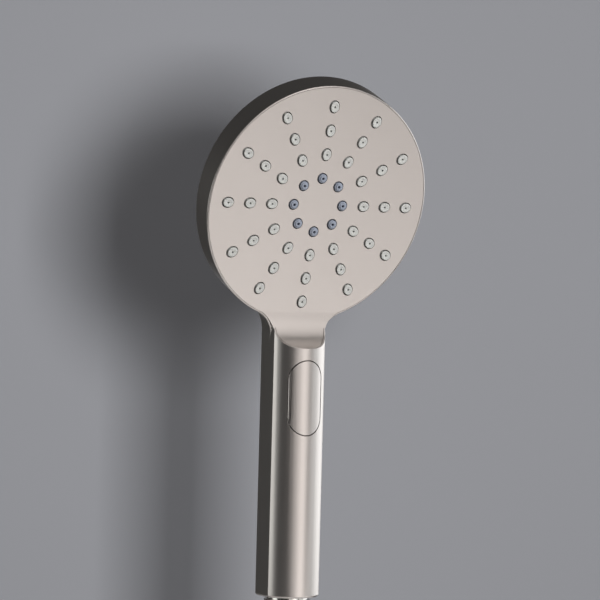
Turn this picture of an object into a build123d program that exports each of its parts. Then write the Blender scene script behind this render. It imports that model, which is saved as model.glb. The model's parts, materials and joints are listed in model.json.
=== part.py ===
from build123d import *
import math
import os

# Hand shower with a round tilted head, a scooped neck and a push button in the handle.
# Millimetres. Z runs up the handle's axis, and the front faces -Y. The heights below are counted
# from the handle's lower end, and the finished pieces go up so that the thread's shoulder is at zero.

# Handle: a round bar with two side flats, straight up to the neck, then bent into the head's back
GRIP_R = 14.4
FLAT_CUT = 1.32
BEND_Z = 122.0
BEND_R = 85.0
BEND_DEG = 36.0
GRIP_WALL = 2.4
FLOOR_T = 6.0
FOOT_EDGE = 0.8

# Head: a disc tilted forward, with a shallow domed back
HEAD_R = 55.0
HEAD_TILT = 16.4
FACE_FORWARD = 19.74
FACE_Z = 177.3
RIM_DEPTH = 11.8
RIM_LEAN = 1.4
RIM_EDGE = 0.35
RIM_EDGE_DEG = 45.0
DOME_SAG = 5.0
NECK_ROUND = 13.0

# Scoop that turns the face plane forward onto the handle's front
SCOOP_R = 13.5
SCOOP_START = 50.0

# Face plate, let into a thin lip of the shell
FACE_T = 2.0
LIP = 0.7
PLATE_GAP = 0.12

# Nozzles: rain rings evenly spaced from the ring of jets out to the head's edge
SPOKES = 12
RAIN_RINGS = 3
RING_EDGE = 9.55
OVAL_L = 6.0
OVAL_W = 5.1
OVAL_SIDES = 16
NOZZLE_GAP = 0.35
NOZZLE_DRAFT = 4.0
RAIN_PROUD = 0.7
RAIN_PIN_R = 0.4
JETS = 8
JET_RING = 12.43
JET_HOLE_D = 5.1
JET_PROUD = 0.9
JET_STEP = 0.35
JET_STEP_D = 2.9
JET_PIN_R = 0.6
PIN_SIDES = 6
MAT_T = 1.4
MAT_JOIN_GAP = 0.4
MAT_EDGE_GAP = 2.1

# Spray divider behind the mats
DIVIDER_GAP = 1.2
DIVIDER_T = 1.8
RING_WALL = 1.8
MANIFOLD_WALL = 1.0
MANIFOLD_LOW = 130.0
DUCT_W = 6.0
DUCT_H = 4.8
DUCT_BORE_R = 1.7
DUCT_END = 11.0

# Twin-bore feed from the diverter to the head, with a flat gasket at each end
FEED_X = 4.0
FEED_Y = 4.4
FEED_R = 3.4
FEED_BORE_R = 2.3
FEED_LOW = 110.0
FEED_HIGH = 138.0
GASKET_T = 1.2
FIT = 0.1

# Push button
BUTTON_Z = 90.4
BUTTON_H = 34.2
BUTTON_W = 17.2
BUTTON_GAP = 0.35
BUTTON_T = 3.0
FLANGE_OVER = 1.2
FLANGE_W = 15.0
FLANGE_DROP = 0.4
FLANGE_T = 1.4
TRAVEL = 2.4
PAD_R = 6.0
PAD_Y = -9.0
STEM_SOCKET_R = 3.4
STEM_SOCKET_Y = -7.4

# Diverter valve behind the button, on the press axis
RUN_GAP = 0.3
STEM_R = 2.0
CROWN_R = 3.9
CROWN_T = 1.0
TOOTH_H = 0.7
TEETH = 6
ROTOR_R = 5.6
ROTOR_WALL = 1.3
ROTOR_FRONT = -1.0
ROTOR_BACK = 8.2
ROTOR_WEB_Y = 4.0
ROTOR_WEB_T = 0.8
WINDOWS = 3
WINDOW_Y = 6.4
WINDOW_R = 1.4
BORE_FLOOR_Y = 9.2
CAP_FRONT = -3.6
CAP_T = 2.2
CAP_R = 7.4
SEAL_T = 1.2
SPRING_R = 4.7
SPRING_WIRE_R = 0.4
SPRING_TURNS = 3
SPRING_STEPS = 10
HOUSING_FIT = 0.3
HOUSING_LOW = 70.0
HOUSING_HIGH = 118.0
OUTLET_X = 2.9
OUTLET_R = 1.7
INLET_Y = 6.4
INLET_R = 2.4

# Supply tube up the handle, between the inlet's shank and the housing's spigot
SUPPLY_GAP = 0.58
SUPPLY_WALL = 1.6
SPIGOT_L = 10.0
WATERWAY_R = 5.6

# Threaded inlet, G 1/2
THREAD_R = 10.4775
THREAD_L = 12.0
THREAD_LEAD = 0.8
NECK_R = 9.25
NECK_L = 1.6
SHANK_TOP = 15.0
POCKET_R = 7.7
POCKET_DEPTH = 9.0
REGULATOR_T = 4.0
REGULATOR_HOLES = 3
FILTER_T = 1.6
MESH_PITCH = 1.9
MESH_R = 1.5

tilt = math.radians(HEAD_TILT)
WIDE = 4 * HEAD_R
flat_x = GRIP_R - FLAT_CUT
supply_r = flat_x - GRIP_WALL - SUPPLY_GAP
supply_bore_r = supply_r - SUPPLY_WALL
ring_pitch = (HEAD_R - RING_EDGE - JET_RING) / RAIN_RINGS
rain_rings = [JET_RING + ring_pitch * (i + 1) for i in range(RAIN_RINGS)]
mat_join_r = JET_RING + ring_pitch / 2
mat_edge_r = HEAD_R - GRIP_WALL - MAT_EDGE_GAP
face = Plane(
    origin=(0, -FACE_FORWARD, FACE_Z),
    x_dir=(1, 0, 0),
    z_dir=(0, -math.cos(tilt), -math.sin(tilt)),
)
press_axis = Plane(origin=(0, 0, BUTTON_Z), x_dir=(1, 0, 0), z_dir=(0, -1, 0))


def rod(radius, low, high):
    return Pos(0, 0, low) * extrude(Circle(radius), high - low)


def tube(outer, inner, low, high):
    return Pos(0, 0, low) * extrude(Circle(outer) - Circle(inner), high - low)


def oval(length, width, sides=OVAL_SIDES):
    turns = [2 * math.pi * i / sides for i in range(sides)]
    return Polygon(*[(length / 2 * math.cos(t), width / 2 * math.sin(t)) for t in turns])


def grip_section(inset):
    return Circle(GRIP_R - inset) & Rectangle(2 * (flat_x - inset), 4 * GRIP_R)


def grip_bar(inset, low, high=BEND_Z):
    return Pos(0, 0, low) * extrude(grip_section(inset), high - low)


def grip_bend(inset):
    """The bar's upper end, turned forward into the head's back."""
    pivot = Axis((0, -BEND_R, BEND_Z), (1, 0, 0))
    return revolve(Pos(0, 0, BEND_Z) * grip_section(inset), pivot, BEND_DEG)


def head_outline(inset):
    """The disc with the concave rounds that carry it into the handle's flats."""
    disc_r = HEAD_R - inset
    half = flat_x - inset
    turn_r = NECK_ROUND + inset
    turn_x = half + turn_r
    reach = disc_r + turn_r
    turn_y = -math.sqrt(reach**2 - turn_x**2)
    on_disc = (turn_x * disc_r / reach, turn_y * disc_r / reach)
    middle = math.atan2(-turn_y / reach, -turn_x / reach - 1)
    mid = (turn_x + turn_r * math.cos(middle), turn_y + turn_r * math.sin(middle))
    low = turn_y - NECK_ROUND
    edge = Polyline(on_disc, (0, on_disc[1]), (0, low), (half, low), (half, turn_y))
    edge += ThreePointArc((half, turn_y), mid, on_disc)
    web = make_face(edge)
    return Circle(disc_r) + web + mirror(web, Plane.YZ)


def head_block():
    """The disc with a rim that leans up to its domed back, cut off in line with the handle's rear arris."""
    depth = RIM_DEPTH + DOME_SAG
    edge = Pos(0, 0, -RIM_EDGE) * head_outline(0)
    back = Vector(0, RIM_LEAN, -RIM_DEPTH)
    block = extrude(edge, RIM_EDGE, taper=RIM_EDGE_DEG) + extrude(edge, 2 * depth, dir=back.normalized())
    dome_r = (HEAD_R**2 + DOME_SAG**2) / (2 * DOME_SAG)
    dome = Pos(0, RIM_LEAN, dome_r - depth) * Sphere(dome_r)
    arris = math.sqrt(GRIP_R**2 - flat_x**2)
    behind = Pos(0, arris + HEAD_R, FACE_Z) * Box(WIDE, 2 * HEAD_R, WIDE)
    return face.location * (block & dome) - behind


def head_hollow():
    """The cup inside the head, with a coned back that leaves an even wall."""
    cup_r = HEAD_R - GRIP_WALL
    rim = GRIP_WALL - RIM_DEPTH
    section = Polyline((0, 0), (cup_r, 0), (cup_r, rim), (0, rim - DOME_SAG), close=True)
    return face.location * revolve(Plane.XZ * make_face(section), Axis.Z)


def front_of(depth):
    """All that lies in front of the face and its scoop, moved back by depth."""
    far = 2 * HEAD_R
    radius = SCOOP_R + depth
    turn = math.radians(HEAD_TILT + 90)
    mid = (-SCOOP_START - radius * math.sin(turn / 2), SCOOP_R - radius * math.cos(turn / 2))
    end = (-SCOOP_START - radius * math.sin(turn), SCOOP_R - radius * math.cos(turn))
    out = (end[0] - far * math.sin(tilt), end[1] + far * math.cos(tilt))
    start = (-SCOOP_START, -depth)
    edge = Line((far, -depth), start) + ThreePointArc(start, mid, end)
    edge += Polyline(end, out, (far, far), (far, -depth))
    side = Plane(origin=face.origin, x_dir=face.y_dir, z_dir=(1, 0, 0))
    return extrude(side * make_face(edge), WIDE / 2, both=True)


def plate_form(inset):
    """The face plate's outline, tongue included, down to the plate's back."""
    disc = face.location * extrude(head_outline(inset), -2 * FACE_T)
    return (disc + grip_bar(inset, BEND_Z - 2 * GRIP_R, BEND_Z + GRIP_R)) & front_of(FACE_T)


def stadium(height, width):
    return press_axis * Rot(0, 0, 90) * SlotOverall(height, width)


def feed_slot(grow):
    return Pos(0, FEED_Y) * SlotOverall(2 * (FEED_X + FEED_R + grow), 2 * (FEED_R + grow))


def feed_section():
    bores = [Pos(x, FEED_Y) * Circle(FEED_BORE_R) for x in (-FEED_X, FEED_X)]
    return feed_slot(0) - bores


def teeth(root, rise):
    """A ring of saw teeth that stand up from root by rise."""
    half_pitch = math.pi * CROWN_R / TEETH
    saw = make_face(Polyline((0, 0), (half_pitch, 0), (0, rise), close=True))
    across = Plane(origin=(0, 0, root), x_dir=(0, 1, 0), z_dir=(1, 0, 0))
    tooth = extrude(across * saw, CROWN_R) & tube(CROWN_R, STEM_R, root - TOOTH_H, root + TOOTH_H)
    return [Rot(0, 0, 360 / TEETH * i) * tooth for i in range(TEETH)]


# Body shell: head cup, neck and hollow handle in one moulding
bar = grip_bar(0, 0)
bar = chamfer(bar.edges().group_by(Axis.Z)[0], FOOT_EDGE)
body_shell = bar + grip_bend(0) + head_block() - front_of(0)
button_mouth = extrude(stadium(BUTTON_H, BUTTON_W), 2 * GRIP_R)
body_shell -= [plate_form(LIP), grip_bar(GRIP_WALL, FLOOR_T) + grip_bend(GRIP_WALL), head_hollow()]
body_shell -= [button_mouth, rod(supply_bore_r, -FLOOR_T, 2 * FLOOR_T)]

# Face plate with its scooped tongue and the nozzle holes
rain_spots = [spot for ring in rain_rings for spot in PolarLocations(ring, SPOKES, 90)]
jet_spots = list(PolarLocations(JET_RING, JETS, 90))
rain_hole = extrude(oval(OVAL_L, OVAL_W), 2 * FACE_T, both=True)
jet_hole = extrude(oval(JET_HOLE_D, JET_HOLE_D), 2 * FACE_T, both=True)
face_plate = plate_form(LIP + PLATE_GAP) - front_of(0)
face_plate -= [face.location * spot * rain_hole for spot in rain_spots]
face_plate -= [face.location * spot * jet_hole for spot in jet_spots]

# Silicone mats, with the nozzles standing through the plate
mat_back = -FACE_T - MAT_T
rain_oval = oval(OVAL_L - 2 * NOZZLE_GAP, OVAL_W - 2 * NOZZLE_GAP)
rain_nozzle = Pos(0, 0, -FACE_T) * extrude(rain_oval, FACE_T + RAIN_PROUD, taper=NOZZLE_DRAFT)
rain_pin = extrude(RegularPolygon(RAIN_PIN_R, PIN_SIDES), 2 * mat_back, both=True)
rain_mat = tube(mat_edge_r, mat_join_r + MAT_JOIN_GAP / 2, mat_back, -FACE_T)
rain_mat += [spot * rain_nozzle for spot in rain_spots]
rain_nozzle_mat = face.location * (rain_mat - [spot * rain_pin for spot in rain_spots])

jet_d = JET_HOLE_D - 2 * NOZZLE_GAP
jet_nozzle = Pos(0, 0, -FACE_T) * extrude(oval(jet_d, jet_d), FACE_T + JET_PROUD - JET_STEP, taper=NOZZLE_DRAFT)
jet_nozzle += extrude(oval(JET_STEP_D, JET_STEP_D), JET_PROUD)
jet_pin = extrude(RegularPolygon(JET_PIN_R, PIN_SIDES), 2 * mat_back, both=True)
jet_mat = rod(mat_join_r - MAT_JOIN_GAP / 2, mat_back, -FACE_T) + [spot * jet_nozzle for spot in jet_spots]
jet_nozzle_mat = face.location * (jet_mat - [spot * jet_pin for spot in jet_spots])

# Spray divider: ring walls that press the mats' edges, feed socket and the duct to the middle chamber
divider_back = GRIP_WALL + DIVIDER_GAP - RIM_DEPTH
divider_front = divider_back + DIVIDER_T
divider = rod(mat_edge_r, divider_back, divider_front)
divider += tube(mat_edge_r, mat_edge_r - RING_WALL, divider_front, mat_back)
divider += tube(mat_join_r + RING_WALL, mat_join_r - RING_WALL, divider_front, mat_back)
socket_top = face.location.inverse() * Pos(0, FEED_Y, FEED_HIGH)
duct_low = socket_top.position.Y
duct_l = -DUCT_END + DUCT_W / 2 - duct_low
divider += Pos(FEED_X, duct_low + duct_l / 2, divider_back - DUCT_H / 2) * Box(DUCT_W, duct_l, DUCT_H)
manifold_h = FEED_HIGH + MANIFOLD_WALL - MANIFOLD_LOW
manifold = Pos(0, 0, MANIFOLD_LOW) * extrude(feed_slot(MANIFOLD_WALL), manifold_h)
duct_mid = divider_back - DUCT_H / 2
duct_bore = Rot(90, 0, 0) * rod(DUCT_BORE_R, 0, -DUCT_END - duct_low + FEED_R)
waterways = [Pos(FEED_X, -DUCT_END, duct_mid) * duct_bore]
waterways += [Pos(FEED_X, -DUCT_END, 0) * rod(DUCT_BORE_R, duct_mid, mat_back)]
waterways += [Pos(-FEED_X, duct_low, 0) * rod(DUCT_BORE_R, divider_back - FEED_R, mat_back)]
spray_divider = face.location * divider + (manifold - front_of(-divider_back))
spray_divider -= Pos(0, 0, BEND_Z) * extrude(feed_slot(FIT), FEED_HIGH - BEND_Z)
spray_divider -= [face.location * bore for bore in waterways]

# Feed moulding and its gaskets
feed_l = FEED_HIGH - FEED_LOW - 2 * GASKET_T
feed_channel = Pos(0, 0, FEED_LOW + GASKET_T) * extrude(feed_section(), feed_l)
gasket = extrude(feed_section(), GASKET_T)
feed_gaskets = Compound([Pos(0, 0, FEED_LOW) * gasket, Pos(0, 0, FEED_HIGH - GASKET_T) * gasket])

# Diverter housing: a block in the handle with the valve bore, feed socket and the supply spigot
housing = Pos(0, 0, HOUSING_LOW) * extrude(grip_section(GRIP_WALL + HOUSING_FIT), HOUSING_HIGH - HOUSING_LOW)
housing -= Pos(0, CAP_FRONT - GRIP_R, BUTTON_Z) * Box(WIDE, 2 * GRIP_R, WIDE)
housing += rod(supply_bore_r - FIT, HOUSING_LOW - SPIGOT_L, HOUSING_LOW)
cap_back = CAP_FRONT + CAP_T
seal_low = HOUSING_LOW - SPIGOT_L / 2
seal_r = supply_bore_r - SEAL_T
cuts = [press_axis * rod(ROTOR_R + RUN_GAP, -BORE_FLOOR_Y, -CAP_FRONT)]
cuts += [press_axis * rod(CAP_R + FIT, -cap_back, GRIP_R)]
cuts += [Pos(0, 0, FEED_LOW) * extrude(feed_slot(FIT), HOUSING_HIGH - FEED_LOW)]
cuts += [Pos(x, WINDOW_Y, 0) * rod(OUTLET_R, BUTTON_Z, FEED_LOW) for x in (-OUTLET_X, OUTLET_X)]
cuts += [rod(WATERWAY_R, 0, HOUSING_LOW), Pos(0, INLET_Y, 0) * rod(INLET_R, HOUSING_LOW - INLET_R, BUTTON_Z)]
cuts += [tube(supply_r, seal_r, seal_low, seal_low + SEAL_T)]
diverter_housing = housing - cuts

# Valve cap screwed in over the bore, with the stem's gland
gland_r = STEM_R + RUN_GAP + SEAL_T
cap = tube(CAP_R, STEM_R + RUN_GAP, -cap_back, -CAP_FRONT) - rod(gland_r, 0, SEAL_T - cap_back)
valve_cap = press_axis * cap
plunger_seal = press_axis * tube(gland_r, STEM_R + RUN_GAP, -cap_back, SEAL_T - cap_back)

# Rotor: a cup with a toothed web, and three windows into its hollow back
cup_r = ROTOR_R - ROTOR_WALL
rotor = rod(ROTOR_R, -ROTOR_BACK, -ROTOR_FRONT)
rotor -= [rod(cup_r, -ROTOR_WEB_Y, GRIP_R), rod(cup_r, -GRIP_R, -ROTOR_WEB_Y - ROTOR_WEB_T)]
window = Pos(0, 0, -WINDOW_Y) * Rot(0, 90, 0) * rod(WINDOW_R, 0, GRIP_R)
rotor -= [Rot(0, 0, 180 / WINDOWS * (2 * i + 1)) * window for i in range(WINDOWS)]
diverter_rotor = press_axis * (rotor + teeth(-ROTOR_WEB_Y, TOOTH_H))

# Plunger: stem and toothed crown that ride with the button
crown_back = -ROTOR_WEB_Y + 2 * TOOTH_H + RUN_GAP + TRAVEL
crown = rod(CROWN_R, crown_back, crown_back + CROWN_T) + rod(STEM_R, crown_back, -PAD_Y)
plunger = press_axis * (crown + teeth(crown_back, -TOOTH_H))

# Return spring between the cap and the button's pad
spring_l = CAP_FRONT - PAD_Y - 2 * SPRING_WIRE_R
coil_points = []
for step in range(SPRING_TURNS * SPRING_STEPS + 1):
    turn = 2 * math.pi * step / SPRING_STEPS
    climb = spring_l * step / (SPRING_TURNS * SPRING_STEPS)
    coil_points.append((SPRING_R * math.cos(turn), SPRING_R * math.sin(turn), climb))
coil = Polyline(*coil_points)
wire = Plane(origin=coil @ 0, z_dir=coil % 0) * RegularPolygon(SPRING_WIRE_R, PIN_SIDES)
spring = sweep(wire, coil, transition=Transition.RIGHT)
return_spring = press_axis * Pos(0, 0, SPRING_WIRE_R - CAP_FRONT) * spring

# Push button: a curved cap in the handle's mouth, a flange behind it, the spring's pad and the stem's socket
flange_r = GRIP_R - GRIP_WALL - FLANGE_DROP
button_cap = extrude(stadium(BUTTON_H - 2 * BUTTON_GAP, BUTTON_W - 2 * BUTTON_GAP), 2 * GRIP_R)
button_cap &= tube(GRIP_R, GRIP_R - BUTTON_T, 0, FACE_Z)
flange = extrude(stadium(BUTTON_H + 2 * FLANGE_OVER, FLANGE_W), 2 * GRIP_R)
flange &= tube(flange_r, flange_r - FLANGE_T, 0, FACE_Z)
pad = rod(PAD_R, -PAD_Y, GRIP_R) + rod(STEM_SOCKET_R, -STEM_SOCKET_Y, GRIP_R)
pad = press_axis * pad & rod(flange_r, 0, FACE_Z)
button = button_cap + flange + pad - press_axis * rod(STEM_R, 0, -PAD_Y)

# Supply tube and its seal on the housing's spigot
supply_tube = tube(supply_r, supply_bore_r, FLOOR_T, HOUSING_LOW)
supply_seal = tube(supply_bore_r, seal_r, seal_low, seal_low + SEAL_T)

# Threaded inlet, with the seal groove on its shank and a pocket for regulator and strainer
thread_low = -NECK_L - THREAD_L
pocket_top = thread_low + POCKET_DEPTH
groove_low = (FLOOR_T + SHANK_TOP) / 2
inlet = rod(THREAD_R, thread_low, -NECK_L)
inlet = chamfer(inlet.edges().group_by(Axis.Z)[0], THREAD_LEAD)
inlet += rod(NECK_R, -NECK_L, 0) + rod(supply_bore_r - FIT, 0, SHANK_TOP)
inlet -= [rod(WATERWAY_R, thread_low, SHANK_TOP), rod(POCKET_R, thread_low, pocket_top)]
inlet_connector = inlet - tube(supply_r, seal_r, groove_low, groove_low + SEAL_T)
inlet_seal = tube(supply_bore_r, seal_r, groove_low, groove_low + SEAL_T)

# Flow regulator and strainer in the inlet's mouth
regulator_low = pocket_top - REGULATOR_T
regulator_spots = PolarLocations(WATERWAY_R / 2, REGULATOR_HOLES)
flow_regulator = rod(POCKET_R - FIT, regulator_low, pocket_top)
flow_regulator -= [spot * rod(WATERWAY_R / 3, thread_low, 0) for spot in regulator_spots]
filter_low = regulator_low - FILTER_T
mesh_cell = Pos(0, 0, thread_low) * extrude(RegularPolygon(MESH_R, PIN_SIDES), THREAD_L)
mesh_spots = HexLocations(MESH_PITCH, 3, 3)
filter_screen = rod(POCKET_R - FIT, filter_low, regulator_low) - [spot * mesh_cell for spot in mesh_spots]

NODES = {
    "body_shell": body_shell,
    "face_plate": face_plate,
    "rain_nozzle_mat": rain_nozzle_mat,
    "jet_nozzle_mat": jet_nozzle_mat,
    "spray_divider": spray_divider,
    "feed_channel": feed_channel,
    "feed_gaskets": feed_gaskets,
    "diverter_housing": diverter_housing,
    "valve_cap": valve_cap,
    "plunger_seal": plunger_seal,
    "diverter_rotor": diverter_rotor,
    "plunger": plunger,
    "return_spring": return_spring,
    "button": button,
    "supply_tube": supply_tube,
    "supply_seal": supply_seal,
    "inlet_connector": inlet_connector,
    "inlet_seal": inlet_seal,
    "flow_regulator": flow_regulator,
    "filter_screen": filter_screen,
}

os.makedirs("parts", exist_ok=True)
on_shoulder = Pos(0, 0, NECK_L)
for name, shape in NODES.items():
    export_step(on_shoulder * shape, f"parts/{name}.step")
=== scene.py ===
import json
import math
import bmesh
import bpy
from mathutils import Matrix, Vector


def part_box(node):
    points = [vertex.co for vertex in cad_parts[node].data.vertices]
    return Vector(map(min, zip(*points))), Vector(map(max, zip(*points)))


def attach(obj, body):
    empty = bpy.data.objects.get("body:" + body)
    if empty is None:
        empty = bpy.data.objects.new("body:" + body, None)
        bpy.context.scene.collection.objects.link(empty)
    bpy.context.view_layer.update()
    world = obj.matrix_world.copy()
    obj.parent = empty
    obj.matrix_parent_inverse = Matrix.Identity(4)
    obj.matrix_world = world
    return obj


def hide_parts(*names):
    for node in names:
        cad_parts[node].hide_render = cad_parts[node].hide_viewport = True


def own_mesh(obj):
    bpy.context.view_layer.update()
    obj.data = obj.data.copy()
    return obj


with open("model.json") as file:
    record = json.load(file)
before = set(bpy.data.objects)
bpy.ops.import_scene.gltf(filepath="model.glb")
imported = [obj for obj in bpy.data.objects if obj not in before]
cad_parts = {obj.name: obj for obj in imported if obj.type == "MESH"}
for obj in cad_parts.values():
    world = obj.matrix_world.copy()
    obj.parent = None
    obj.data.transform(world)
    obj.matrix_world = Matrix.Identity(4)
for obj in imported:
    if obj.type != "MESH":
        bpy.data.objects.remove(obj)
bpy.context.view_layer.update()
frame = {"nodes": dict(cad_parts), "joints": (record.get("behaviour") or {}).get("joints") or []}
nodes = frame["nodes"]


# Threaded inlet: a turned brass tube, plated bright. The hose's nut screws onto its thread,
# and its shank goes up through the handle's floor into the supply tube.
MM = 0.001
INLET_SIDES = 96
CREST_R = 10.4775
THREAD_DEPTH = 1.162
THREAD_PITCH = 1.814
THREAD_END = -12.0
THREAD_LEAD = 0.8
THREAD_STEPS = 160
THREAD_CREASE = 44
RUN_OUT = 1.5
MOUTH_R = 9.4
POCKET_R = 7.7
POCKET_TOP = -3.0
WATERWAY_R = 5.6
NECK_R = 9.25
NECK_ROOT = 0.2
NECK_TOP = 1.6
SHANK_R = 8.4
SHANK_TOP = 16.6
SHANK_LEAD = 0.4
GROOVE_R = 7.3
GROOVE_LOW = 12.1
GROOVE_TOP = 13.3


class Value:
    """A socket in a node tree. Its operators add Math nodes."""

    def __init__(self, tree, socket):
        self.tree = tree
        self.socket = socket

    def worked(self, operation, first, second=0.0):
        return self.tree.node("ShaderNodeMath", {"operation": operation}, {0: first, 1: second})

    def __add__(self, other):
        return self.worked("ADD", self, other)

    def __sub__(self, other):
        return self.worked("SUBTRACT", self, other)

    def __rsub__(self, other):
        return self.worked("SUBTRACT", other, self)

    def __mul__(self, other):
        return self.worked("MULTIPLY", self, other)

    def __truediv__(self, other):
        return self.worked("DIVIDE", self, other)

    __radd__ = __add__
    __rmul__ = __mul__


class Tree:
    """A node tree that is filled one node at a time."""

    def __init__(self, tree):
        self.tree = tree

    def node(self, kind, settings=None, inputs=None, out=0):
        made = self.tree.nodes.new(kind)
        for name, setting in (settings or {}).items():
            setattr(made, name, setting)
        for name, given in (inputs or {}).items():
            if isinstance(given, Value):
                self.tree.links.new(given.socket, made.inputs[name])
            else:
                made.inputs[name].default_value = given
        return Value(self, made.outputs[out]) if made.outputs else None


class Finish(Tree):
    """A material with one shader, whose even values are set straight on its sockets."""

    def __init__(self, name, **even):
        self.material = bpy.data.materials.new(name)
        self.material.use_nodes = True
        super().__init__(self.material.node_tree)
        self.shader = self.tree.nodes["Principled BSDF"]
        for socket, amount in even.items():
            self.shader.inputs[socket.replace("_", " ")].default_value = amount
        self.place = self.node("ShaderNodeTexCoord", out="Object")

    def feed(self, socket, value):
        self.tree.links.new(value.socket, self.shader.inputs[socket])

    def noise(self, stretch, detail=2.0):
        along = self.node("ShaderNodeMapping", inputs={"Vector": self.place, "Scale": stretch})
        return self.node("ShaderNodeTexNoise", inputs={"Vector": along, "Scale": 1.0, "Detail": detail})

    def blend(self, amount, low, high):
        return self.node(
            "ShaderNodeMix", {"data_type": "RGBA"}, {"Factor": amount, 6: low, 7: high}, out=2
        )

    def bump(self, height, distance, strength):
        lift = self.node(
            "ShaderNodeBump", inputs={"Height": height, "Distance": distance, "Strength": strength}
        )
        self.feed("Normal", lift)


def ring_mesh(name, rings, joined=False):
    """An object through rings of points in millimetres. joined closes the last ring onto the
    first, and otherwise both ends are flat."""
    count = len(rings[0])
    points = [Vector(point) * MM for ring in rings for point in ring]
    faces = []
    for i in range(len(rings) - (0 if joined else 1)):
        near = i * count
        far = (i + 1) % len(rings) * count
        for j in range(count):
            k = (j + 1) % count
            faces.append((near + j, near + k, far + k, far + j))
    if not joined:
        faces.append(tuple(range(count)))
        faces.append(tuple(range(len(points) - count, len(points))))
    mesh = bpy.data.meshes.new(name)
    mesh.from_pydata(points, [], faces)
    work = bmesh.new()
    work.from_mesh(mesh)
    bmesh.ops.recalc_face_normals(work, faces=work.faces)
    work.to_mesh(mesh)
    work.free()
    piece = bpy.data.objects.new(name, mesh)
    bpy.context.scene.collection.objects.link(piece)
    return piece


def settle(piece):
    """The piece's modifiers are made into its mesh."""
    view = bpy.context.evaluated_depsgraph_get()
    mesh = bpy.data.meshes.new_from_object(piece.evaluated_get(view))
    piece.modifiers.clear()
    piece.data = mesh


def shade(piece, degrees, wide_lead=True):
    """Smooth faces, with a crisp edge wherever two of them meet at more than this angle.
    wide_lead lets the wide faces set the shading where they meet narrow ones."""
    piece.data.shade_smooth()
    piece.data.set_sharp_from_angle(angle=math.radians(degrees))
    if not wide_lead:
        return
    even = piece.modifiers.new("even", "WEIGHTED_NORMAL")
    even.keep_sharp = True
    even.weight = 100
    settle(piece)


def fit(piece, finish, body, slot, *stands_for):
    """The finished piece gets its material, and its place on the shower."""
    piece.data.materials.clear()
    piece.data.materials.append(finish.material)
    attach(piece, body)
    if stands_for:
        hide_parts(*stands_for)


def round_ring(radius, height):
    turns = [2 * math.pi * i / INLET_SIDES for i in range(INLET_SIDES)]
    return [(radius * math.cos(t), radius * math.sin(t), height) for t in turns]


def thread_ring(height):
    """One level of the thread, whose crests and roots are rounded and run out at both ends."""
    ring = []
    fade = min(1.0, -height / RUN_OUT, (height - THREAD_END) / RUN_OUT)
    for i in range(INLET_SIDES):
        turn = 2 * math.pi * i / INLET_SIDES
        wave = 0.5 + 0.5 * math.cos(2 * math.pi * height / THREAD_PITCH - turn)
        lead = max(0.0, THREAD_END + THREAD_LEAD - height)
        radius = CREST_R - max(lead, THREAD_DEPTH * wave * max(0.0, fade))
        ring.append((radius * math.cos(turn), radius * math.sin(turn), height))
    return ring


inlet_rings = [round_ring(POCKET_R, THREAD_END), round_ring(MOUTH_R, THREAD_END)]
for step in range(THREAD_STEPS + 1):
    inlet_rings.append(thread_ring(THREAD_END * (1 - step / THREAD_STEPS)))
for radius, height in (
    (NECK_R + NECK_ROOT, 0.0), (NECK_R, NECK_ROOT), (NECK_R, NECK_TOP), (SHANK_R, NECK_TOP),
    (SHANK_R, GROOVE_LOW), (GROOVE_R, GROOVE_LOW), (GROOVE_R, GROOVE_TOP), (SHANK_R, GROOVE_TOP),
    (SHANK_R, SHANK_TOP - SHANK_LEAD), (SHANK_R - SHANK_LEAD, SHANK_TOP),
    (WATERWAY_R, SHANK_TOP), (WATERWAY_R, POCKET_TOP), (POCKET_R, POCKET_TOP),
):
    inlet_rings.append(round_ring(radius, height))
inlet = ring_mesh("threaded_inlet", inlet_rings, joined=True)
shade(inlet, THREAD_CREASE, wide_lead=False)
bright_plate = Finish("bright_plate", Metallic=1.0)
swirl = bright_plate.noise((900, 900, 5200))
bright_plate.feed("Roughness", 0.12 + swirl * 0.12)
tarnish = bright_plate.noise((160, 160, 160), 3.0)
bright_plate.feed(
    "Base Color", bright_plate.blend(tarnish, (0.66, 0.65, 0.63, 1), (0.78, 0.77, 0.75, 1))
)
fit(inlet, bright_plate, "shower", "chrome_brass", "inlet_connector")


# Mouldings inside: flow regulator, strainer, supply tube, valve block and cap, rotor, plunger,
# feed and divider. They are natural plastic straight from the tool, with a very fine grain,
# and are pushed, screwed or welded together.
FINE_GRAIN = 5200
natural_plastic = Finish("natural_plastic", IOR=1.49)
flow_marks = natural_plastic.noise((240, 240, 90), 3.0)
natural_plastic.feed(
    "Base Color", natural_plastic.blend(flow_marks, (0.66, 0.66, 0.63, 1), (0.78, 0.78, 0.76, 1))
)
tool_grain = natural_plastic.noise((FINE_GRAIN, FINE_GRAIN, FINE_GRAIN))
natural_plastic.feed("Roughness", 0.42 + tool_grain * 0.16)
natural_plastic.bump(tool_grain, 0.00002, 0.35)
for name in (
    "flow_regulator", "filter_screen", "supply_tube", "diverter_housing", "valve_cap",
    "diverter_rotor", "plunger", "feed_channel", "spray_divider",
):
    nodes[name].data.materials.clear()
    nodes[name].data.materials.append(natural_plastic.material)


# Seals: black rubber rings and gaskets, squeezed between the mouldings they close.
# Their rubber is matt, with a faint bloom.
seal_rubber = Finish("seal_rubber", IOR=1.52)
bloom = seal_rubber.noise((900, 900, 900), 3.0)
seal_rubber.feed(
    "Base Color", seal_rubber.blend(bloom, (0.012, 0.012, 0.012, 1), (0.032, 0.032, 0.031, 1))
)
seal_rubber.feed("Roughness", 0.5 + bloom * 0.2)
for name in ("inlet_seal", "supply_seal", "plunger_seal", "feed_gaskets"):
    nodes[name].data.materials.clear()
    nodes[name].data.materials.append(seal_rubber.material)


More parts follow.
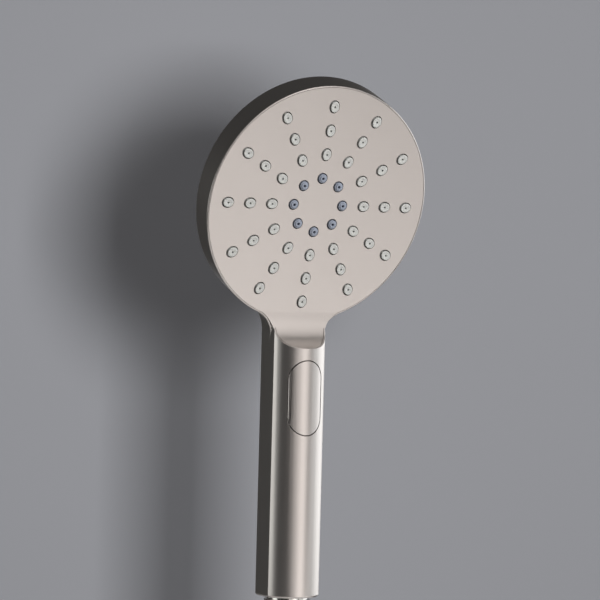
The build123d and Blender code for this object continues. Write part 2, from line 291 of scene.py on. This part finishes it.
# Return spring: drawn steel wire between the valve's cap and the button.
SPRING_R = 4.7
WIRE_R = 0.4
WIRE_SIDES = 14
SPRING_TURNS = 3
TURN_STEPS = 48
WIRE_CREASE = 40
BUTTON_Z = 92.0
spring_front, spring_back = (corner.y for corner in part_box("return_spring"))
coil_back = spring_back / MM - WIRE_R
coil_climb = (spring_front - spring_back) / MM + 2 * WIRE_R


def wire_ring(share):
    """A ring of points round the wire, at a share of the way from the cap to the button."""
    turn = 2 * math.pi * SPRING_TURNS * share
    outward = Vector((math.cos(turn), 0, math.sin(turn)))
    middle = Vector((0, coil_back + coil_climb * share, BUTTON_Z)) + SPRING_R * outward
    round_coil = 2 * math.pi * SPRING_TURNS * SPRING_R
    onward = Vector((-round_coil * math.sin(turn), coil_climb, round_coil * math.cos(turn)))
    level = onward.normalized().cross(outward)
    turns = [2 * math.pi * i / WIRE_SIDES for i in range(WIRE_SIDES)]
    return [middle + WIRE_R * (outward * math.cos(t) + level * math.sin(t)) for t in turns]


coil_steps = SPRING_TURNS * TURN_STEPS
spring = ring_mesh("spring_coil", [wire_ring(step / coil_steps) for step in range(coil_steps + 1)])
shade(spring, WIRE_CREASE, wide_lead=False)
spring_wire = Finish("spring_wire", Metallic=1.0)
drawn = spring_wire.noise((2600, 2600, 2600))
spring_wire.feed(
    "Base Color", spring_wire.blend(drawn, (0.44, 0.44, 0.45, 1), (0.58, 0.58, 0.58, 1))
)
spring_wire.feed("Roughness", 0.22 + drawn * 0.16)
fit(spring, spring_wire, "shower", "spring_steel", "return_spring")
press = next(joint for joint in frame["joints"] if joint["name"] == "button_press")
left_at_full_press = 1 - press["range_m"][1] / (spring_back - spring_front)
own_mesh(spring)


# Body shell: head cup, neck and handle moulded in one and plated with satin nickel.
# Its edges are eased by the plating, and its skin is a very fine even matt.
SAME_POINT = 0.002
FLAT_DEGREES = 0.4
EASE_STEPS = 3
SKIN_CREASE = 20
SHELL_EASE = 0.16


def satin(name, stretch, streak):
    """Satin nickel with a fine grain that runs along the shortest of the stretch's counts."""
    made = Finish(name, Metallic=1.0)
    grain = made.noise(stretch, 3.0)
    cloud = made.noise((30, 30, 30), 2.0)
    tone = 0.5 + (grain - 0.5) * streak + (cloud - 0.5) * 0.4
    made.feed("Base Color", made.blend(tone, (0.62, 0.595, 0.575, 1), (0.68, 0.655, 0.635, 1)))
    made.feed("Roughness", 0.34 + (grain - 0.5) * 0.08 + (cloud - 0.5) * 0.02)
    made.bump(grain, 0.0000005, 0.3)
    return made


def ease_edges(piece, degrees, width, steps):
    """A narrow round along each edge where two faces meet at more than this angle."""
    edge = piece.modifiers.new("ease", "BEVEL")
    edge.width = width * MM
    edge.segments = steps
    edge.limit_method = "ANGLE"
    edge.angle_limit = math.radians(degrees)
    edge.use_clamp_overlap = False
    settle(piece)


def from_solid(name, node, ease):
    """A copy of a solid with its triangles joined, its edges eased and its faces smooth."""
    piece = bpy.data.objects.new(name, nodes[node].data.copy())
    bpy.context.scene.collection.objects.link(piece)
    work = bmesh.new()
    work.from_mesh(piece.data)
    bmesh.ops.remove_doubles(work, verts=work.verts, dist=SAME_POINT * MM)
    flat = math.radians(FLAT_DEGREES)
    bmesh.ops.dissolve_limit(work, angle_limit=flat, verts=work.verts, edges=work.edges)
    work.to_mesh(piece.data)
    work.free()
    ease_edges(piece, SKIN_CREASE, ease, EASE_STEPS)
    shade(piece, SKIN_CREASE)
    return piece


satin_skin = satin("satin_skin", (FINE_GRAIN, FINE_GRAIN, FINE_GRAIN), 0.2)
shell = from_solid("shell", "body_shell", SHELL_EASE)
fit(shell, satin_skin, "shower", "satin_nickel", "body_shell")


# Push button: a plated cap that lies flush in the handle's front, on the plunger's stem.
# Its edge is rounder than the shell's.
BUTTON_EASE = 0.25
cap = from_solid("button_cap", "button", BUTTON_EASE)
fit(cap, satin_skin, "push_button", "satin_nickel", "button")


# Nozzles: soft silicone mats behind the face plate, with nozzles that stand through its holes.
# The rain nozzles are milky ovals with a pinhole, and the jets are blue-grey and stepped.
FACE_FORWARD = 19.74
FACE_Z = 178.9
HEAD_TILT = math.radians(16.4)
FACE_T = 2.0
MAT_BACK = -3.4
MAT_GAP = 0.2
RAIN_MAT_R = 50.5
RAIN_BORE = 0.4
JET_BORE = 0.6
JET_RING = 12.43
RING_PITCH = 11.0067
RAIN_SPREAD = (3, 12, JET_RING + RING_PITCH, RING_PITCH)
JET_SPREAD = (1, 8, JET_RING, 0.0)
NOZZLE_SIDES = 40
NOZZLE_CREASE = 35
MAT_CREASE = 30
out_of_face = Vector((0, -math.cos(HEAD_TILT), -math.sin(HEAD_TILT)))
up_the_face = Vector((0, -math.sin(HEAD_TILT), math.cos(HEAD_TILT)))
face_place = Matrix.Translation(Vector((0, -FACE_FORWARD, FACE_Z)) * MM) @ Matrix(
    ((1, 0, 0), up_the_face, out_of_face)
).transposed().to_4x4()

pattern = bpy.data.node_groups.new("rings_of_nozzles", "GeometryNodeTree")
for label, kind in (
    ("Nozzle", "NodeSocketObject"), ("Rings", "NodeSocketInt"), ("Spokes", "NodeSocketInt"),
    ("First radius", "NodeSocketFloat"), ("Pitch", "NodeSocketFloat"),
    ("Finish", "NodeSocketMaterial"),
):
    pattern.interface.new_socket(name=label, in_out="INPUT", socket_type=kind)
pattern.interface.new_socket(name="Mesh", in_out="OUTPUT", socket_type="NodeSocketGeometry")
rings_tree = Tree(pattern)


def size(label):
    return rings_tree.node("NodeGroupInput", out=label)


index = rings_tree.node("GeometryNodeInputIndex")
ring = rings_tree.node("ShaderNodeMath", {"operation": "FLOOR"}, {0: index / size("Spokes")})
turn = (index - ring * size("Spokes")) * (2 * math.pi) / size("Spokes") + math.pi / 2
reach = size("First radius") + ring * size("Pitch")
across = reach * rings_tree.node("ShaderNodeMath", {"operation": "COSINE"}, {0: turn})
along = reach * rings_tree.node("ShaderNodeMath", {"operation": "SINE"}, {0: turn})
spot = rings_tree.node("ShaderNodeCombineXYZ", inputs={"X": across, "Y": along})
spots = rings_tree.node(
    "GeometryNodePoints", inputs={"Count": size("Rings") * size("Spokes"), "Position": spot}
)
turned = rings_tree.node("ShaderNodeCombineXYZ", inputs={"Z": turn})
facing = rings_tree.node("FunctionNodeEulerToRotation", inputs={"Euler": turned})
nozzle_form = rings_tree.node(
    "GeometryNodeObjectInfo", inputs={"Object": size("Nozzle")}, out="Geometry"
)
copies = rings_tree.node(
    "GeometryNodeInstanceOnPoints",
    inputs={"Points": spots, "Instance": nozzle_form, "Rotation": facing},
)
real = rings_tree.node("GeometryNodeRealizeInstances", inputs={"Geometry": copies})
coated = rings_tree.node(
    "GeometryNodeSetMaterial", inputs={"Geometry": real, "Material": size("Finish")}
)
rings_tree.node("NodeGroupOutput", inputs={"Mesh": coated})


def in_rings(name, nozzle, rings, spokes, first, pitch, finish):
    """Copies of a nozzle, or of a hole's cutter, on rings about the face's middle."""
    holder = bpy.data.objects.new(name, bpy.data.meshes.new(name))
    bpy.context.scene.collection.objects.link(holder)
    repeat = holder.modifiers.new("rings", "NODES")
    repeat.node_group = pattern
    given = (nozzle, rings, spokes, first * MM, pitch * MM, finish.material)
    sockets = [item for item in pattern.interface.items_tree if item.in_out == "INPUT"]
    for socket, amount in zip(sockets, given):
        repeat[socket.identifier] = amount
    settle(holder)
    bpy.data.objects.remove(nozzle)
    return holder


def oval_ring(length, width, height):
    turns = [2 * math.pi * i / NOZZLE_SIDES for i in range(NOZZLE_SIDES)]
    return [(length * math.cos(t), width * math.sin(t), height) for t in turns]


def nozzle_of(steps):
    """One hollow nozzle from steps of half length, half width and height, round its wall and hole."""
    piece = ring_mesh("nozzle", [oval_ring(*step) for step in steps], joined=True)
    shade(piece, NOZZLE_CREASE)
    return piece


def cut(piece, tool, operation="DIFFERENCE"):
    """The tool is cut out of the piece, or joined to it, and is then gone."""
    work = piece.modifiers.new("cut", "BOOLEAN")
    work.operation = operation
    work.solver = "EXACT"
    work.object = tool
    settle(piece)
    bpy.data.objects.remove(tool)


def joined(piece, others):
    """Several meshes become one piece."""
    work = bmesh.new()
    for part in [piece] + others:
        work.from_mesh(part.data)
    work.to_mesh(piece.data)
    work.free()
    for part in others:
        bpy.data.objects.remove(part)


milky = Finish("milky_silicone", Subsurface_Weight=0.15, IOR=1.41)
milky.shader.inputs["Subsurface Radius"].default_value = (0.0012, 0.0012, 0.001)
haze = milky.noise((420, 420, 420), 3.0)
milky.feed("Base Color", milky.blend(haze, (0.50, 0.515, 0.50, 1), (0.57, 0.585, 0.57, 1)))
milky.feed("Roughness", 0.38 + haze * 0.14)

slate = Finish("slate_silicone", IOR=1.41)
slate_haze = slate.noise((420, 420, 420), 3.0)
slate.feed("Base Color", slate.blend(slate_haze, (0.245, 0.28, 0.345, 1), (0.30, 0.335, 0.405, 1)))
slate.feed("Roughness", 0.36 + slate_haze * 0.14)

rain_steps = (
    (0.45, 0.45, -FACE_T), (2.65, 2.20, -FACE_T), (2.58, 2.13, -1.5), (2.20, 1.75, -0.9),
    (2.20, 1.75, 0.05), (2.44, 1.99, 0.28), (2.48, 2.03, 0.40), (2.47, 2.02, 0.56),
    (2.41, 1.96, 0.66), (2.30, 1.85, 0.70), (1.62, 1.32, 0.70), (1.54, 1.24, 0.67),
    (0.52, 0.52, 0.67), (0.45, 0.45, 0.60),
)
jet_steps = [(radius, radius, height) for radius, height in (
    (0.6, -FACE_T), (2.2, -FACE_T), (2.13, -1.5), (1.85, -0.9), (1.85, 0.0), (2.03, 0.22),
    (2.03, 0.42), (1.94, 0.53), (1.82, 0.55), (1.48, 0.55), (1.45, 0.60), (1.45, 0.80),
    (1.38, 0.88), (1.28, 0.90), (0.72, 0.90), (0.62, 0.82), (0.6, 0.60),
)]
mats_meet = JET_RING + RING_PITCH / 2
for name, mat_name, steps, finish, slot, node, spread, inner, outer, bore_r in (
    ("rain_nozzles", "rain_mat", rain_steps, milky, "pale_silicone", "rain_nozzle_mat",
     RAIN_SPREAD, mats_meet + MAT_GAP, RAIN_MAT_R, RAIN_BORE),
    ("jet_nozzles", "jet_mat", jet_steps, slate, "blue_silicone", "jet_nozzle_mat",
     JET_SPREAD, 0.0, mats_meet - MAT_GAP, JET_BORE),
):
    nozzles = in_rings(name, nozzle_of(steps), *spread, finish)
    rims = [(outer, -FACE_T), (outer, MAT_BACK)]
    if inner:
        rims += [(inner, MAT_BACK), (inner, -FACE_T)]
    mat = ring_mesh(mat_name, [round_ring(r, z) for r, z in rims], joined=inner > 0)
    bore = ring_mesh("bore", [oval_ring(bore_r, bore_r, z) for z in (2 * MAT_BACK, -MAT_BACK)])
    cut(mat, in_rings("bores", bore, *spread, finish))
    shade(mat, MAT_CREASE)
    joined(mat, [nozzles])
    mat.data.transform(face_place)
    fit(mat, finish, "shower", slot, node)


# Face plate: one thin plated plate, the disc and the scooped tongue that runs down onto
# the handle. It is let into the shell's lip, and the nozzles stand in its holes.
# Its grain lies across it.
HEAD_R = 55.0
GRIP_R = 14.4
FLAT_X = 13.08
NECK_ROUND = 13.0
SCOOP_R = 13.5
SCOOP_START = 50.0
BEND_Z = 123.6
PLATE_INSET = 0.82
RAIN_HOLE = (3.0, 2.55)
JET_HOLE = (2.55, 2.55)
HEAD_STEPS = 240
NECK_STEPS = 24
GRIP_STEPS = 64
SCOOP_STEPS = 72
TONGUE_SHARE = 0.9999
GRAIN_ALONG = 60
FACE_CREASE = 25
FACE_EASE = 0.1
FACE_EASE_FROM = 40
FACE_EASE_STEPS = 2


def swing(centre, radius, start, end, steps):
    turns = [start + (end - start) * i / steps for i in range(steps + 1)]
    return [(centre[0] + radius * math.cos(t), centre[1] + radius * math.sin(t)) for t in turns]


def head_outline(inset):
    """The head's circle, the hollows of the neck and the start of the handle, in the face's plane."""
    half = FLAT_X - inset
    turn_r = NECK_ROUND + inset
    reach = HEAD_R - inset + turn_r
    turn_x = half + turn_r
    turn_y = -math.sqrt(reach**2 - turn_x**2)
    low = math.atan2(turn_y, turn_x)
    outline = swing((0, 0), HEAD_R - inset, low, math.pi - low, HEAD_STEPS)
    outline += swing((-turn_x, turn_y), turn_r, -low, 0, NECK_STEPS)[1:]
    outline += [(-half, turn_y - NECK_ROUND), (half, turn_y - NECK_ROUND)]
    outline += swing((turn_x, turn_y), turn_r, math.pi, math.pi + low, NECK_STEPS)[:-1]
    return outline


def on_face(points, height):
    return [face_place @ (Vector((x, y, height)) * MM) / MM for x, y in points]


def grip_outline(inset):
    """The handle's section: two arcs between two flats."""
    radius = GRIP_R - inset
    edge = math.asin(math.sqrt(radius**2 - (FLAT_X - inset) ** 2) / radius)
    outline = swing((0, 0), radius, edge, math.pi - edge, GRIP_STEPS)
    return outline + swing((0, 0), radius, math.pi + edge, 2 * math.pi - edge, GRIP_STEPS)


def scoop(depth):
    """All that lies in front of the face and its scoop, moved back by depth."""
    far = 2 * HEAD_R
    radius = SCOOP_R + depth
    side = [(far, -depth)]
    for step in range(SCOOP_STEPS + 1):
        turn = (math.pi / 2 + HEAD_TILT) * step / SCOOP_STEPS
        side.append((-SCOOP_START - radius * math.sin(turn), SCOOP_R - radius * math.cos(turn)))
    side += [(side[-1][0], far), (far, far)]
    ends = []
    for x in (-far, far):
        ends.append([face_place @ (Vector((x, y, z)) * MM) / MM for y, z in side])
    return ring_mesh("scoop", ends)


disc_outline = head_outline(PLATE_INSET)
disc = ring_mesh("face_disc", [on_face(disc_outline, z) for z in (-2 * FACE_T, FACE_T)])
tongue_outline = [(x * TONGUE_SHARE, y * TONGUE_SHARE) for x, y in grip_outline(PLATE_INSET)]
tongue_rings = []
for height in (BEND_Z - 2 * GRIP_R, BEND_Z + GRIP_R):
    tongue_rings.append([(x, y, height) for x, y in tongue_outline])
cut(disc, ring_mesh("tongue", tongue_rings), "UNION")
cut(disc, scoop(FACE_T), "INTERSECT")
cut(disc, scoop(0.0))
satin_face = satin("satin_face", (GRAIN_ALONG, FINE_GRAIN, FINE_GRAIN), 0.5)
for spread, hole in ((RAIN_SPREAD, RAIN_HOLE), (JET_SPREAD, JET_HOLE)):
    drill = ring_mesh("drill", [oval_ring(*hole, z) for z in (-3 * FACE_T, 3 * FACE_T)])
    drills = in_rings("drills", drill, *spread, satin_face)
    drills.data.transform(face_place)
    cut(disc, drills)
ease_edges(disc, FACE_EASE_FROM, FACE_EASE, FACE_EASE_STEPS)
shade(disc, FACE_CREASE)
disc.name = "face"
fit(disc, satin_face, "shower", "satin_nickel", "face_plate")


# Stage: a pale floor well below, a grey backdrop far behind and soft panels round the shower.
# A small lamp lights the backdrop alone, and the shower's soft shadow falls on it.
# The long lens looks at the face from the left, level with the head.
MIDDLE = (0, 0, 0.11)
KEY_AIM = (0, 0, -0.058)
WARM = (1.0, 0.935, 0.90)
NEUTRAL = (1.0, 1.0, 1.0)
FLOOR_R = 1000
FLOOR_TOP = -600
FLOOR_DEPTH = 10
SIGHT = Vector((0.48387, 0.87493, -0.01929))
ASIDE = Vector((0.875, -0.483, 0))
BACKDROP_FAR = 2.2
BACKDROP_HALF = 0.6
BACKDROP_DEPTH = 0.01
WALL_LAMP_AT = (-0.4744, -0.9956, 0.1833)
WALL_LAMP_SIZE = 0.056
WALL_LAMP_GLOW = 12100
DARK_ROOM = (0.045, 0.044, 0.043, 1)
SEEN_ROOM = (0.287, 0.292, 0.312, 1)
LENS = 181.4
SENSOR = 36.0


def panel(name, centre, size_x, size_y, glow, colour, aim=MIDDLE):
    """A soft rectangular lamp that faces a point, of an even glow whatever its size."""
    lamp = bpy.data.lights.new(name, "AREA")
    lamp.shape = "RECTANGLE"
    lamp.size = size_x
    lamp.size_y = size_y
    lamp.energy = glow * math.pi * size_x * size_y
    lamp.color = colour
    stand = bpy.data.objects.new(name, lamp)
    facing_aim = (Vector(aim) - Vector(centre)).to_track_quat("-Z", "Y")
    stand.matrix_world = Matrix.Translation(centre) @ facing_aim.to_matrix().to_4x4()
    bpy.context.scene.collection.objects.link(stand)
    stand.visible_camera = False
    return stand


def around(degrees, distance, height):
    """A place round the shower, in degrees from its front towards its right."""
    turn = math.radians(degrees)
    return (distance * math.sin(turn), -distance * math.cos(turn), height)


floor = ring_mesh("floor", [round_ring(FLOOR_R, z) for z in (FLOOR_TOP - FLOOR_DEPTH, FLOOR_TOP)])
pale_floor = Finish("pale_floor", Roughness=0.8)
pale_floor.shader.inputs["Base Color"].default_value = (0.78, 0.76, 0.75, 1)
floor.data.materials.append(pale_floor.material)

panel("low_panel", around(34, 0.70, -0.34), 0.70, 0.56, 0.80, WARM)
panel("key_core", around(16, 1.25, 0.586), 0.64, 2.3, 0.60, WARM, KEY_AIM)
panel("key_wide", around(9, 1.27, 0.586), 1.62, 2.3, 0.70, WARM, KEY_AIM)
panel("right_core", around(102, 1.2, 0.26), 1.10, 0.98, 0.70, NEUTRAL)
panel("right_wide", around(90, 1.25, 0.26), 2.30, 0.98, 0.80, NEUTRAL)
panel("left_strip", around(-100, 1.2, 0.08), 0.66, 0.60, 1.35, (1.0, 1.0, 0.97))
fill = panel("fill", around(30, 1.5, 1.2), 1.2, 1.2, 6.0, NEUTRAL)
fill.visible_glossy = False

world = bpy.data.worlds.new("room")
bpy.context.scene.world = world
world.use_nodes = True
room = Tree(world.node_tree)
seen = room.node("ShaderNodeLightPath", out="Is Camera Ray")
air = room.node(
    "ShaderNodeMix", {"data_type": "RGBA"},
    {"Factor": seen, 6: DARK_ROOM, 7: SEEN_ROOM}, out=2,
)
world.node_tree.links.new(air.socket, world.node_tree.nodes["Background"].inputs["Color"])

backdrop_middle = Vector(MIDDLE) + SIGHT * BACKDROP_FAR
sheets = []
for depth in (0.0, BACKDROP_DEPTH):
    centre = backdrop_middle + SIGHT * depth
    corners = [ASIDE * x + Vector((0, 0, z)) for x, z in ((-1, -1), (1, -1), (1, 1), (-1, 1))]
    sheets.append([(centre + corner * BACKDROP_HALF) / MM for corner in corners])
backdrop = ring_mesh("backdrop", sheets)
grey_paper = Finish("grey_paper", Roughness=0.9)
grey_paper.shader.inputs["Base Color"].default_value = (0.20, 0.2035, 0.2175, 1)
grey_paper.shader.inputs["Specular IOR Level"].default_value = 0.0
backdrop.data.materials.append(grey_paper.material)
wall_lamp = panel(
    "wall_lamp", WALL_LAMP_AT, WALL_LAMP_SIZE, WALL_LAMP_SIZE, WALL_LAMP_GLOW, NEUTRAL, backdrop_middle
)
wall_only = bpy.data.collections.new("wall_only")
wall_only.objects.link(backdrop)
wall_lamp.light_linking.receiver_collection = wall_only

camera_data = bpy.data.cameras.new("camera")
camera_data.lens = LENS
camera_data.sensor_width = SENSOR
camera = bpy.data.objects.new("camera", camera_data)
camera.matrix_world = Matrix((
    (0.87504, -0.01293, -0.48387, -0.66138),
    (-0.48338, 0.02919, -0.87493, -1.20124),
    (0.02543, 0.99949, 0.01929, 0.16236),
    (0, 0, 0, 1),
))
bpy.context.scene.collection.objects.link(camera)
bpy.context.scene.camera = camera
bpy.context.scene.view_settings.view_transform = "Standard"
